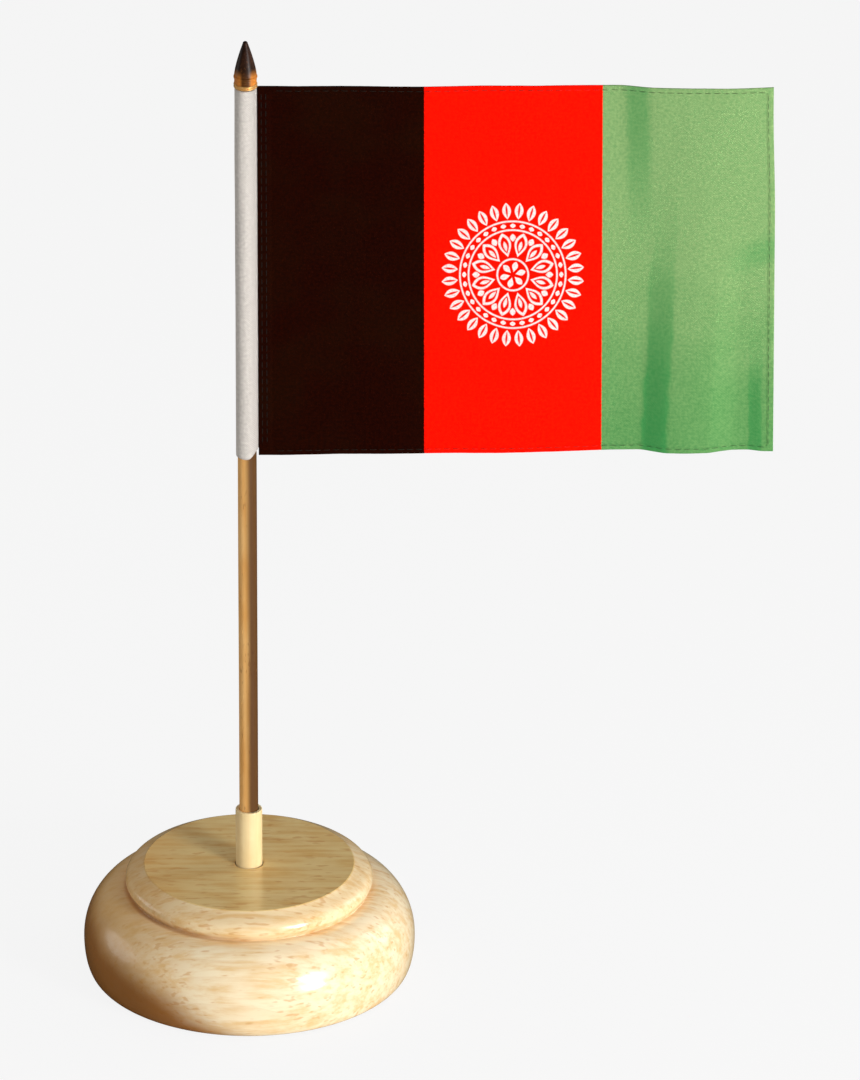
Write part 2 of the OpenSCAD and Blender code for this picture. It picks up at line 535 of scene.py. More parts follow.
def make_sleeve():
    """The white tape: folded round the pole, both its ends lying behind the panel."""
    outer, inner = 0.5, -0.5
    rows = 150
    path = sleeve_path()
    lengths = [math.dist(a, b) for a, b in zip(path, path[1:])]
    runs = np.concatenate([[0.0], np.cumsum(lengths)])
    points, places, faces, index = [], [], [], {}
    for i, (x, y) in enumerate(path):
        before, after = path[max(i - 1, 0)], path[min(i + 1, len(path) - 1)]
        tangent = Vector((after[0] - before[0], after[1] - before[1], 0)).normalized()
        outward = Vector((tangent.y, -tangent.x, 0))
        if outward.dot(Vector((x, y, 0))) < 0 and x < 2.4:
            outward = -outward
        rise = 2.2 * step(x, 0.4, 3.0)
        low = sleeve_low.z + rise + 0.08 * math.sin(runs[i] * 1.3)
        high = sleeve_high.z - 0.05
        loose = 1 - step(x, 2.2, 3.2)
        for j in range(rows + 1):
            z = low + (high - low) * (j / rows)
            rumple = noise.noise(Vector((runs[i] * 0.5, z * 0.045, 5.0)))
            pucker = math.sin(2 * math.pi * z / STITCH_PITCH) * step(x, 1.8, 3.2)
            push = 0.09 * rumple * loose + 0.025 * pucker
            rim = round_off(min(z - low, high - z) + 0.03)
            for side in (outer, inner):
                index[i, j, side] = len(points)
                points.append(Vector((x, y, z)) + outward * (push * loose + side * SLEEVE_T * rim))
                places.append((runs[i], z))

    def face(*corners):
        faces.append([index[k] for k in corners])

    last = len(path) - 1
    for i in range(last):
        n = i + 1
        for j in range(rows):
            m = j + 1
            face((i, j, outer), (n, j, outer), (n, m, outer), (i, m, outer))
            face((i, j, inner), (i, m, inner), (n, m, inner), (n, j, inner))
        face((i, 0, outer), (i, 0, inner), (n, 0, inner), (n, 0, outer))
        face((n, rows, outer), (n, rows, inner), (i, rows, inner), (i, rows, outer))
    for j in range(rows):
        m = j + 1
        face((0, j, outer), (0, m, outer), (0, m, inner), (0, j, inner))
        face((last, j, inner), (last, m, inner), (last, m, outer), (last, j, outer))
    shape = (points, faces)
    tape = white_tape()
    return build("pole_sleeve", shape, "flagpole", "flag_sleeve", tape, places)


# ---------------------------------------------------------------- stitches


def stitch_row(route, length):
    """Stitches along a route, which gives the point, the normal and the flat place at a run."""
    rings, sides = 6, 6
    points, places, faces = [], [], []
    count = int((length - STITCH_LENGTH) // STITCH_PITCH) + 1
    start = (length - (count - 1) * STITCH_PITCH - STITCH_LENGTH) / 2
    for s in range(count):
        first = len(points)
        for i in range(rings + 1):
            k = i / rings
            run = start + s * STITCH_PITCH + STITCH_LENGTH * k
            at, normal, flat = route(run)
            ahead = route(run + 0.1)[0]
            along = (ahead - at).normalized()
            across = along.cross(normal).normalized()
            arch = math.sin(math.pi * k) ** 0.5 if 0 < k < 1 else 0.0
            heart = at + normal * THREAD * (0.42 * arch - 0.3)
            girth = 0.5 * THREAD * (0.55 + 0.45 * arch)
            for j in range(sides):
                a = 2 * math.pi * j / sides
                points.append(heart + (across * math.cos(a) + normal * math.sin(a)) * girth)
                places.append(flat)
        for i in range(rings):
            for j in range(sides):
                n = (j + 1) % sides
                a, b = first + i * sides, first + (i + 1) * sides
                faces.append((a + j, a + n, b + n, b + j))
        faces.append(tuple(first + j for j in reversed(range(sides))))
        faces.append(tuple(first + rings * sides + j for j in range(sides)))
    return points, places, faces


def sew(name, rows, node, material):
    """One piece from several rows of stitches."""
    points, places, faces = [], [], []
    for row_points, row_places, row_faces in rows:
        shift = len(points)
        points += row_points
        places += row_places
        faces += [tuple(i + shift for i in face) for face in row_faces]
    return build(name, (points, faces), "flagpole", node, material, places)


def on_cloth(place_at, side):
    """A route on the cloth's front (side 1) or back (side -1) along place_at(run)."""

    def route(run):
        x, z = place_at(run)
        front, back = faces_of_cloth(x, z)
        normal = cloth_middle(x, z)[1]
        return (front if side > 0 else back), normal * side, (x, z)

    return route


def make_hem_stitches():
    """The rows of stitches that hold the upper, lower and fly hems, on both faces."""
    inset = 1.3
    left = SLEEVE_TAIL + 0.8
    right = FLAG_RIGHT - inset
    span = right - left
    tall = FLAG_H - FLY_RISE - 2 * inset
    lines = (
        (lambda run: (left + run, FLAG_TOP - inset), span),
        (lambda run: (left + run, lower_edge(left + run) + inset), span),
        (lambda run: (right, FLAG_BOTTOM + FLY_RISE + inset + run), tall),
    )
    rows = [stitch_row(on_cloth(line, side), size) for line, size in lines for side in (1, -1)]
    return sew("hem_stitches", rows, "hem_stitching", hem_thread())


def make_seam_stitches():
    """The two rows of stitches that join the panel's hoist edge to the tape."""
    low, high = sleeve_low.z + 2.6, sleeve_high.z - 0.8
    back_y = PANEL_BACK + 2 * SLEEVE_T + 2 * AIR
    rows = []
    for x in (FLAG_LEFT + 1.0, FLAG_LEFT + 2.2):

        def before(run, x=x):
            return x, low + run

        def behind(run, x=x):
            return Vector((x, back_y, low + run)), Vector((0, 1, 0)), (x, low + run)

        rows.append(stitch_row(on_cloth(before, 1), high - low))
        rows.append(stitch_row(behind, high - low))
    return sew("seam_stitches", rows, "sleeve_seam", seam_thread())


# ---------------------------------------------------------------- shader nodes


class Sheet:
    """Lays out the nodes of one material or node group."""

    def __init__(self, tree):
        self.tree = tree

    def join(self, value, socket):
        """Joins a socket to an input, or sets the input's own value."""
        if isinstance(value, bpy.types.NodeSocket):
            self.tree.links.new(value, socket)
        else:
            socket.default_value = value

    def feed(self, sockets, **values):
        """Joins or sets several inputs. An underscore in a name stands for a space."""
        for key, value in values.items():
            self.join(value, sockets[key.replace("_", " ")])

    def add(self, kind, inputs=None, **settings):
        """Adds a node with its settings and inputs."""
        made = self.tree.nodes.new(kind)
        for key, value in settings.items():
            setattr(made, key, value)
        for key, value in (inputs or {}).items():
            self.join(value, made.inputs[key])
        return made

    def use(self, tree, **values):
        """Places a shared node group with its own values."""
        made = self.add("ShaderNodeGroup", node_tree=tree)
        self.feed(made.inputs, **values)
        return made.outputs

    def sum(self, operation, *values):
        """One step of arithmetic."""
        return self.add("ShaderNodeMath", dict(enumerate(values)), operation=operation).outputs[0]

    def plus(self, first, second):
        return self.sum("ADD", first, second)

    def minus(self, first, second):
        return self.sum("SUBTRACT", first, second)

    def times(self, first, second):
        return self.sum("MULTIPLY", first, second)

    def over(self, first, second):
        return self.sum("DIVIDE", first, second)

    def off(self, value, line):
        """How far a value is from a line, on either side of it."""
        return self.sum("ABSOLUTE", self.minus(value, line))

    def stray(self, value, drift, amount):
        """A value that a noise shifts either way, by up to half the amount."""
        return self.plus(value, self.times(self.minus(drift, 0.5), amount))

    def reach(self, across, up):
        """Distance from the middle, of a place given in two parts."""
        return self.sum("SQRT", self.plus(self.times(across, across), self.times(up, up)))

    def split(self, place):
        """The three parts of a place."""
        return self.add("ShaderNodeSeparateXYZ", {0: place}).outputs

    def ease(self, value, low, high, out_low=0.0, out_high=1.0):
        """A smooth climb from out_low to out_high as value goes from low to high."""
        made = self.add(
            "ShaderNodeMapRange",
            {"Value": value, "From Min": low, "From Max": high, "To Min": out_low, "To Max": out_high},
            interpolation_type="SMOOTHSTEP",
        )
        return made.outputs["Result"]

    def blend(self, share, first, second, kind="MIX"):
        """Mixes two colours by a share."""
        inputs = {0: share, 6: first, 7: second}
        return self.add("ShaderNodeMix", inputs, data_type="RGBA", blend_type=kind).outputs[2]

    def noise(self, place, scale, detail=2.0, rough=0.5):
        """Noise with so many turns in a unit of length, one number for all axes or one for each."""
        scale = scale if isinstance(scale, tuple) else (scale,) * 3
        moved = self.add("ShaderNodeMapping", {"Vector": place, "Scale": scale}).outputs[0]
        inputs = {"Vector": moved, "Scale": 1.0, "Detail": detail, "Roughness": rough}
        return self.add("ShaderNodeTexNoise", inputs).outputs["Fac"]

    def bump(self, height, distance):
        """A normal that follows a height."""
        return self.add("ShaderNodeBump", {"Height": height, "Distance": distance}).outputs[0]


def group(name, inputs, outputs):
    """An empty node group with named inputs and outputs, and the ends to join them to."""
    tree = bpy.data.node_groups.new(name, "ShaderNodeTree")
    for label, value in inputs.items():
        kind = "NodeSocketVector" if value is None else "NodeSocketFloat"
        socket = tree.interface.new_socket(label, in_out="INPUT", socket_type=kind)
        if value is not None:
            socket.default_value = value
    for label, kind in outputs.items():
        tree.interface.new_socket(label, in_out="OUTPUT", socket_type=kind)
    sheet = Sheet(tree)
    return sheet, sheet.add("NodeGroupInput").outputs, sheet.add("NodeGroupOutput").inputs


def finish_material(name, place_from="object"):
    """A new material: its sheet, its shader's sockets, and places on the piece or the flat cloth."""
    material = bpy.data.materials.new(name)
    material.use_nodes = True
    sheet = Sheet(material.node_tree)
    shader = material.node_tree.nodes["Principled BSDF"].inputs
    if place_from == "object":
        place = sheet.add("ShaderNodeTexCoord").outputs["Object"]
    else:
        place = sheet.add("ShaderNodeUVMap", uv_map="cloth").outputs["UV"]
    return material, sheet, shader, place


# Shared effects


def wood_grain_group():
    """Timber whose grain runs along X: growth rings, long streaks, and short dark pores."""
    pith_across, pith_up = 0.11, 0.07
    pore_slimness = 4.0
    value = "NodeSocketFloat"
    sheet, given, wanted = group(
        "wood_grain",
        {"Place": None, "Ring spacing": 0.006, "Pore length": 0.002, "Pore share": 0.36},
        {"Tone": value, "Pores": value, "Rings": value, "Height": value},
    )
    place = given["Place"]
    drift = sheet.noise(place, (9.0, 34.0, 34.0), 3.0)
    _, y, z = sheet.split(place)
    from_pith = sheet.reach(sheet.plus(y, pith_across), sheet.plus(z, pith_up))
    turns = sheet.over(from_pith, given["Ring spacing"])
    wavy = sheet.plus(turns, sheet.times(drift, 3.2))
    rings = sheet.sum("POWER", sheet.sum("FRACT", wavy), 2.5)
    streaks = sheet.noise(place, (45.0, 700.0, 700.0), 4.0, 0.6)
    patches = sheet.noise(place, (95.0, 240.0, 240.0), 3.0)
    tone = sheet.plus(sheet.times(streaks, 0.62), sheet.times(patches, 0.58))
    along = sheet.over(1.0, given["Pore length"])
    aside = sheet.over(pore_slimness, given["Pore length"])
    scale = sheet.add("ShaderNodeCombineXYZ", {0: along, 1: aside, 2: aside}).outputs[0]
    spread = sheet.add("ShaderNodeVectorMath", {0: place, 1: scale}, operation="MULTIPLY").outputs[0]
    dashes = sheet.add("ShaderNodeTexNoise", {"Vector": spread, "Scale": 1.0, "Detail": 1.0})
    clusters = sheet.noise(place, (60.0, 130.0, 130.0))
    lifted = sheet.stray(dashes.outputs["Fac"], clusters, 0.35)
    floor = sheet.minus(1.0, given["Pore share"])
    pores = sheet.ease(lifted, floor, sheet.plus(floor, 0.14))
    height = sheet.minus(sheet.times(streaks, 0.4), pores)
    sheet.feed(wanted, Tone=tone, Pores=pores, Rings=rings, Height=height)
    return sheet.tree


def weave_group():
    """Plain-woven cloth on the flat layout: threads over and under, and an uneven hand."""
    sheet, given, wanted = group(
        "plain_weave",
        {"Place": None, "Threads": 420.0},
        {"Height": "NodeSocketFloat", "Unevenness": "NodeSocketFloat"},
    )
    place = given["Place"]
    x, y, _ = sheet.split(place)
    turns = sheet.times(given["Threads"], math.pi)
    warp = sheet.sum("SINE", sheet.times(x, turns))
    weft = sheet.sum("SINE", sheet.times(y, turns))
    slub = sheet.noise(place, (60.0, 330.0, 1.0))
    slub_up = sheet.noise(place, (330.0, 60.0, 1.0))
    speckle = sheet.noise(place, (190.0, 190.0, 1.0), 2.0, 0.6)
    uneven = sheet.plus(sheet.times(sheet.plus(slub, slub_up), 0.2), sheet.times(speckle, 0.6))
    height = sheet.plus(sheet.times(sheet.times(warp, weft), 0.5), uneven)
    sheet.feed(wanted, Height=height, Unevenness=uneven)
    return sheet.tree


def rosette_group():
    """The plain ornament in the middle stripe: rings, dots and rows of petals."""
    sheet, given, wanted = group("rosette", {"Place": None}, {"Print": "NodeSocketFloat"})
    middle = [v / UV_MM for v in EMBLEM_MID]
    half = [v / UV_MM for v in EMBLEM_HALF]
    x, y, _ = sheet.split(given["Place"])
    across = sheet.over(sheet.minus(x, middle[0]), half[0])
    up = sheet.over(sheet.minus(y, middle[1]), half[1])
    radius = sheet.reach(across, up)
    turn = sheet.plus(sheet.over(sheet.sum("ARCTAN2", up, across), 2 * math.pi), 1.0)
    between_32 = sheet.plus(turn, 1 / 64)
    between_12 = sheet.plus(turn, 1 / 24)

    def petals(at, count, ring_r, half_length, width):
        """Mask of a ring of pointed petals."""
        cell = sheet.sum("FRACT", sheet.times(at, float(count)))
        lengthwise = sheet.over(sheet.minus(radius, ring_r), half_length)
        room = sheet.minus(1.0, sheet.times(lengthwise, lengthwise))
        inside = sheet.minus(sheet.times(room, width), sheet.off(cell, 0.5))
        return sheet.ease(inside, -0.02, 0.05)

    def line(ring_r, half_width):
        """Mask of a thin ring."""
        blur = 0.008
        return sheet.ease(sheet.off(radius, ring_r), half_width + blur, half_width - blur)

    whole = sheet.minus(petals(turn, 32, 0.88, 0.115, 0.36), petals(turn, 32, 0.88, 0.1, 0.1))
    for mask in (
        line(0.735, 0.011),
        petals(between_32, 32, 0.675, 0.032, 0.3),
        line(0.615, 0.011),
        sheet.minus(petals(turn, 12, 0.42, 0.17, 0.4), petals(turn, 12, 0.42, 0.125, 0.27)),
        petals(turn, 12, 0.4, 0.075, 0.13),
        petals(between_12, 12, 0.51, 0.055, 0.16),
        line(0.215, 0.012),
        petals(between_12, 6, 0.11, 0.075, 0.33),
    ):
        whole = sheet.sum("MAXIMUM", whole, mask)
    speck = sheet.noise(given["Place"], (300.0, 300.0, 1.0))
    sheet.feed(wanted, Print=sheet.times(whole, sheet.ease(speck, 0.3, 0.55, 0.66, 0.94)))
    return sheet.tree


def painted_fold_shade(sheet, place, across, height):
    """Painted shade: where the green is made darker and deeper, along the creases and the tuck, and in
    a patch by the fly.
    """
    patch_up, patch_x, patch_slope = 0.555, 134.0, -0.35
    wobble = sheet.noise(place, (9.0, 14.0, 1.0), 3.0)
    x = sheet.stray(sheet.times(across, UV_MM), wobble, 2.6)
    up = sheet.over(sheet.minus(sheet.times(height, UV_MM), FLAG_BOTTOM), FLAG_H)

    def band(line, outer, inner, none_at, full_at, share):
        """A band along an upright line, which fades between two heights."""
        beside = sheet.ease(sheet.off(x, line), outer, inner)
        return sheet.times(beside, sheet.ease(up, none_at, full_at, 0.0, share))

    low_line = sheet.plus(LOW_CREASE_X, sheet.times(up, LOW_CREASE_LEAN))
    top_line = sheet.minus(TOP_CREASE_X + TOP_CREASE_LEAN, sheet.times(up, TOP_CREASE_LEAN))
    low = band(low_line, 3.9, 2.5, 0.8, 0.06, 0.66)
    high = band(top_line, 4.2, 1.6, 0.46, 0.92, 0.4)
    tuck = band(TUCK_X, 2.1, 1.3, 0.36, 0.12, 0.5)
    patch_line = sheet.plus(
        sheet.times(sheet.minus(up, patch_up), FLAG_H),
        sheet.times(sheet.minus(x, patch_x), patch_slope),
    )
    patch = sheet.ease(sheet.sum("ABSOLUTE", patch_line), 6.5, 1.0, 0.0, 0.34)
    patch = sheet.times(patch, sheet.ease(x, 121.0, 133.0))
    return sheet.sum("MAXIMUM", sheet.sum("MAXIMUM", low, high), sheet.sum("MAXIMUM", tuck, patch))


def stripes_group():
    """The three printed stripes, each with its own slight unevenness of dye, and painted shade in the
    green: darker low down and along the folds.
    """
    blacks = ((0.009, 0.0008, 0.0, 1), (0.016, 0.0015, 0.0, 1))
    rust = (0.016, 0.009, 0.002, 1)
    reds = ((0.93, 0.003, 0.0, 1), (0.97, 0.007, 0.0005, 1))
    deep_greens = ((0.082, 0.255, 0.074, 1), (0.132, 0.31, 0.098, 1))
    light_greens = ((0.168, 0.328, 0.116, 1), (0.24, 0.382, 0.145, 1))
    crease_shade_green = (0.028, 0.265, 0.065, 1)
    blur = 0.0008
    sheet, given, wanted = group(
        "three_stripes", {"Place": None, "Unevenness": 0.5}, {"Colour": "NodeSocketColor"}
    )
    place = given["Place"]
    across, height, _ = sheet.split(place)
    bleed = sheet.noise(place, (60.0, 260.0, 1.0))
    edge = sheet.stray(across, bleed, 0.0016)
    first = sheet.ease(edge, STRIPE_1 / UV_MM - blur, STRIPE_1 / UV_MM + blur)
    second = sheet.ease(edge, STRIPE_2 / UV_MM - blur, STRIPE_2 / UV_MM + blur)
    dye = sheet.ease(given["Unevenness"], 0.36, 0.64)
    cloud = sheet.ease(sheet.noise(place, (7.0, 7.0, 1.0), 3.0), 0.35, 0.7)
    black = sheet.blend(sheet.times(cloud, 0.14), sheet.blend(dye, *blacks), rust)
    red = sheet.blend(dye, *reds)
    # Painted shade: the green darkens towards the lower edge.
    raised = sheet.stray(height, cloud, 0.1)
    upward = sheet.ease(raised, FLAG_BOTTOM / UV_MM, FLAG_BOTTOM / UV_MM + 0.42)
    green = sheet.blend(upward, sheet.blend(dye, *deep_greens), sheet.blend(dye, *light_greens))
    # Painted shade along the creases, the tuck and the patch by the fly.
    green = sheet.blend(painted_fold_shade(sheet, place, across, height), green, crease_shade_green)
    sheet.feed(wanted, Colour=sheet.blend(second, sheet.blend(first, black, red), green))
    return sheet.tree


# The materials


def lacquered_wood():
    """Pale turned wood under a thick gloss lacquer, with painted shade and painted dark reflection
    down its left side.

    The raised ring is a little browner, and painted shade darkens the flat top, the lower left, the
    groove and the hole.
    """
    pale, tan = (0.99, 0.83, 0.56, 1), (0.87, 0.60, 0.29, 1)
    ring_brown, pore_brown = (0.74, 0.42, 0.14, 1), (0.66, 0.29, 0.06, 1)
    ring_tint, top_shade_tint = (0.985, 0.93, 0.83, 1), (0.91, 0.84, 0.585, 1)
    left_shade_brown, deep_brown = (0.88, 0.48, 0.13, 1), (0.33, 0.11, 0.01, 1)
    groove_brown, hole_brown = (0.45, 0.17, 0.04, 1), (0.2, 0.1, 0.04, 1)
    material, sheet, shader, place = finish_material("lacquered_wood")
    grain = sheet.use(WOOD_GRAIN, Place=place, Pore_share=0.4, Pore_length=0.0044)
    x, y, z = sheet.split(place)
    colour = sheet.blend(sheet.ease(grain["Tone"], 0.48, 0.79), pale, tan)
    colour = sheet.blend(sheet.times(grain["Rings"], 0.16), colour, ring_brown)
    colour = sheet.blend(sheet.times(grain["Pores"], 0.45), colour, pore_brown)
    on_ring = sheet.ease(z, (GROOVE_Z - 0.5) * MM, (GROOVE_Z + 0.5) * MM)
    colour = sheet.blend(on_ring, colour, ring_tint, "MULTIPLY")
    # Painted shade: the flat top is tinted darker and browner.
    on_top = sheet.ease(z, (BASE_TOP - 0.25) * MM, (BASE_TOP - 0.05) * MM)
    colour = sheet.blend(on_top, colour, top_shade_tint, "MULTIPLY")
    # Painted shade and painted dark reflection: the left side turns brown.
    drift = sheet.noise(place, (18.0, 45.0, 45.0), 3.0)
    heart = sheet.ease(sheet.stray(x, drift, 0.02), -0.012, -0.042, 0.0, 0.8)
    colour = sheet.blend(heart, colour, left_shade_brown)
    # Painted shade: deep brown low on the left side.
    inward = sheet.times(sheet.plus(x, BASE_R * MM), 0.5)
    low_left = sheet.stray(sheet.plus(z, inward), drift, 0.01)
    colour = sheet.blend(sheet.ease(low_left, 0.026, 0.0135, 0.0, 0.93), colour, deep_brown)
    # Painted shade in the groove, stronger towards the left side.
    radius = sheet.reach(x, y)
    from_groove = sheet.plus(sheet.off(radius, (GROOVE_R - 0.2) * MM), sheet.off(z, GROOVE_Z * MM))
    leftward = sheet.ease(x, 0.004, -0.016, 0.2, 0.55)
    groove_shade = sheet.times(sheet.ease(from_groove, 0.0016, 0.0004), leftward)
    colour = sheet.blend(groove_shade, colour, groove_brown)
    # Painted shade inside the hole.
    in_hole = sheet.ease(radius, (HOLE_R + 0.3) * MM, (HOLE_R + 0.1) * MM, 0.0, 0.9)
    colour = sheet.blend(in_hole, colour, hole_brown)
    rough = sheet.ease(grain["Tone"], 0.3, 0.9, 0.34, 0.5)
    height = sheet.plus(sheet.times(grain["Height"], 0.15), sheet.noise(place, 150.0, 1.0))
    sheet.feed(shader, Base_Color=colour, Roughness=rough, Normal=sheet.bump(height, 0.00005))
    sheet.feed(shader, Coat_Weight=1.0, Coat_Roughness=0.19, Coat_IOR=1.5, Specular_IOR_Level=0.2)
    return material


def upright_wood(name, ring_spacing, pore_share, pale, dark, pore):
    """Wood whose grain runs along Z: the shared grain turned on end. Its colour isn't joined yet."""
    material, sheet, shader, place = finish_material(name)
    x, y, z = sheet.split(place)
    on_end = sheet.add("ShaderNodeCombineXYZ", {0: z, 1: x, 2: y}).outputs[0]
    grain = sheet.use(
        WOOD_GRAIN,
        Place=on_end,
        Ring_spacing=ring_spacing,
        Pore_length=0.0026,
        Pore_share=pore_share,
    )
    colour = sheet.blend(sheet.ease(grain["Tone"], 0.4, 0.85), pale, dark)
    colour = sheet.blend(sheet.times(grain["Rings"], 0.35), colour, dark)
    colour = sheet.blend(sheet.times(grain["Pores"], 0.55), colour, pore)
    rough = sheet.ease(grain["Tone"], 0.3, 0.9, 0.3, 0.5)
    sheet.feed(shader, Roughness=rough, Normal=sheet.bump(grain["Height"], 0.00003))
    return material, sheet, shader, place, colour


def pale_wood():
    """Clear-finished pale wood of the bush."""
    pale, dark, pore = (0.95, 0.77, 0.43, 1), (0.86, 0.64, 0.31, 1), (0.5, 0.27, 0.09, 1)
    wood = upright_wood("pale_wood", 0.0018, 0.24, pale, dark, pore)
    material, sheet, shader, _, colour = wood
    sheet.feed(shader, Base_Color=colour, Coat_Weight=0.35, Coat_Roughness=0.2, Coat_IOR=1.5)
    return material


def stained_wood():
    """Orange-brown stained dowel with a satin finish, and painted shade down the side by the flag."""
    pale, dark, pore = (0.94, 0.55, 0.2, 1), (0.8, 0.39, 0.1, 1), (0.42, 0.18, 0.045, 1)
    flag_side_shade = (0.075, 0.027, 0.007, 1)
    wood = upright_wood("stained_wood", 0.0012, 0.34, pale, dark, pore)
    material, sheet, shader, place, colour = wood
    # Painted shade: dark brown down the side by the flag.
    drift = sheet.noise(place, (300.0, 300.0, 14.0))
    edge = sheet.stray(sheet.split(place)[0], drift, 0.0012)
    colour = sheet.blend(sheet.ease(edge, -0.0014, 0.0009, 0.0, 0.95), colour, flag_side_shade)
    sheet.feed(shader, Base_Color=colour, Specular_IOR_Level=0.2)
    sheet.feed(shader, Coat_Weight=0.12, Coat_Roughness=0.25, Coat_IOR=1.45)
    return material


def dark_bronze():
    """Near-black satin cap with small rubbed spots, its skirt orange-brown at the two sides as a
    painted glint.
    """
    blacks = ((0.014, 0.004, 0.001, 1), (0.034, 0.01, 0.003, 1))
    rubbed, orange = (0.25, 0.1, 0.03, 1), (0.62, 0.21, 0.03, 1)
    material, sheet, shader, place = finish_material("dark_bronze")
    x, _, z = sheet.split(place)
    cloud = sheet.noise(place, (500.0, 500.0, 180.0), 3.0)
    rub = sheet.noise(place, 1400.0)
    colour = sheet.blend(sheet.ease(cloud, 0.35, 0.7), *blacks)
    colour = sheet.blend(sheet.ease(rub, 0.58, 0.72, 0.0, 0.3), colour, rubbed)
    uneven = sheet.plus(z, sheet.times(cloud, 0.001))
    # Painted glint: the skirt turns orange at its left and right sides and stays dark in the middle.
    skirt = sheet.ease(uneven, (cap_low.z + 5.2) * MM, (cap_low.z + 2.0) * MM)
    sides = sheet.ease(sheet.sum("ABSOLUTE", x), 0.0007, 0.0017, 0.12, 0.95)
    colour = sheet.blend(sheet.times(skirt, sides), colour, orange)
    rough = sheet.ease(cloud, 0.3, 0.75, 0.4, 0.55)
    sheet.feed(shader, Base_Color=colour, Roughness=rough, Normal=sheet.bump(rub, 0.00001))
    sheet.feed(shader, Coat_Weight=0.08, Coat_Roughness=0.3, Specular_IOR_Level=0.16)
    return material


def gold_band():
    """Gold-coloured band with fine scuffs."""
    bright, dull = (0.95, 0.56, 0.2, 1), (0.72, 0.34, 0.08, 1)
    material, sheet, shader, place = finish_material("gold_band")
    scuff = sheet.noise(place, (900.0, 900.0, 2600.0))
    colour = sheet.blend(sheet.ease(scuff, 0.35, 0.7), bright, dull)
    rough = sheet.ease(scuff, 0.3, 0.7, 0.32, 0.5)
    sheet.feed(shader, Base_Color=colour, Roughness=rough, Normal=sheet.bump(scuff, 0.00001))
    sheet.feed(shader, Metallic=0.55)
    return material


def green_felt():
    """Dense dark green felt with matted fibres."""
    dark, light = (0.02, 0.05, 0.025, 1), (0.08, 0.15, 0.07, 1)
    tuft_green = (0.11, 0.18, 0.09, 1)
    material, sheet, shader, place = finish_material("green_felt")
    fibres = sheet.noise(place, 1500.0, 4.0, 0.7)
    matted = sheet.ease(sheet.noise(place, 120.0, 3.0), 0.4, 0.7, 0.0, 0.4)
    colour = sheet.blend(matted, sheet.blend(fibres, dark, light), tuft_green)
    sheet.feed(shader, Base_Color=colour, Normal=sheet.bump(fibres, 0.0003), Roughness=0.95)
    sheet.feed(shader, Sheen_Weight=0.15, Sheen_Roughness=0.6, Specular_IOR_Level=0.1)
    return material


def printed_cloth():
    """Printed polyester: three dyed stripes, a white rosette, and a plain weave."""
    print_white = (0.88, 0.80, 0.76, 1)
    material, sheet, shader, place = finish_material("printed_cloth", "cloth")
    weave = sheet.use(WEAVE, Place=place, Threads=420.0)
    dyed = sheet.use(STRIPES, Place=place, Unevenness=weave["Unevenness"])["Colour"]
    colour = sheet.blend(sheet.use(ROSETTE, Place=place)["Print"], dyed, print_white)
    # Darker where the weave lies low: painted shade between the threads, with uneven tone from the
    # slubs.
    colour = sheet.blend(1.0, colour, sheet.ease(weave["Height"], -0.1, 1.1, 0.93, 1.0), "MULTIPLY")
    rough = sheet.ease(weave["Unevenness"], 0.3, 0.7, 0.8, 0.9)
    normal = sheet.bump(weave["Height"], 0.000025)
    sheet.feed(shader, Base_Color=colour, Roughness=rough, Normal=normal, Specular_IOR_Level=0.02)
    return material


def white_tape():
    """Undyed tape of the sleeve, with painted shade where its tail leaves the pole beside the seam."""
    shade, light, dull = (0.62, 0.57, 0.52, 1), (0.74, 0.69, 0.63, 1), (0.47, 0.43, 0.4, 1)
    seam_run = 4.6
    material, sheet, shader, place = finish_material("white_tape", "cloth")
    weave = sheet.use(WEAVE, Place=place, Threads=470.0)
    colour = sheet.blend(sheet.ease(weave["Unevenness"], 0.36, 0.64), shade, light)
    # Painted shade: greyer where the tape leaves the pole beside the seam.
    off_seam = sheet.off(sheet.times(sheet.split(place)[0], UV_MM), seam_run)
    colour = sheet.blend(sheet.ease(off_seam, 3.6, 0.8, 0.0, 0.75), colour, dull)
    # Darker where the weave lies low: painted shade between the threads, with uneven tone from the
    # slubs.
    colour = sheet.blend(1.0, colour, sheet.ease(weave["Height"], -0.1, 1.1, 0.9, 1.0), "MULTIPLY")
    normal = sheet.bump(weave["Height"], 0.00005)
    sheet.feed(shader, Base_Color=colour, Normal=normal, Roughness=0.85, Specular_IOR_Level=0.15)
    return material


def thread_look(name):
    """Sewing thread with a fine lay. Its colour isn't joined yet."""
    material, sheet, shader, place = finish_material(name, "cloth")
    spot = sheet.add("ShaderNodeTexCoord").outputs["Object"]
    lay = sheet.noise(spot, 9000.0, 1.0)
    normal = sheet.bump(lay, 0.00004)
    sheet.feed(shader, Normal=normal, Roughness=0.7, Specular_IOR_Level=0.12)
    return material, sheet, shader, place, lay


def hem_thread():
    """Thread dyed with the cloth, a little darker than the stripe it lies on."""
    shade = (0.02, 0.02, 0.015, 1)
    material, sheet, shader, place, lay = thread_look("hem_thread")
    dyed = sheet.use(STRIPES, Place=place, Unevenness=lay)["Colour"]
    sheet.feed(shader, Base_Color=sheet.blend(0.45, dyed, shade))
    return material


def seam_thread():
    """Near-black thread of the sleeve's seam."""
    black, grey = (0.006, 0.004, 0.003, 1), (0.02, 0.014, 0.012, 1)
    material, sheet, shader, _, lay = thread_look("seam_thread")
    sheet.feed(shader, Base_Color=sheet.blend(lay, black, grey))
    return material


# ---------------------------------------------------------------- camera, light and floor

CAMERA_AT = (0.0475, -4.4708, 2.3636)
CAMERA_DOWN = 26.6
LENS = 640.0
SENSOR = 36.0

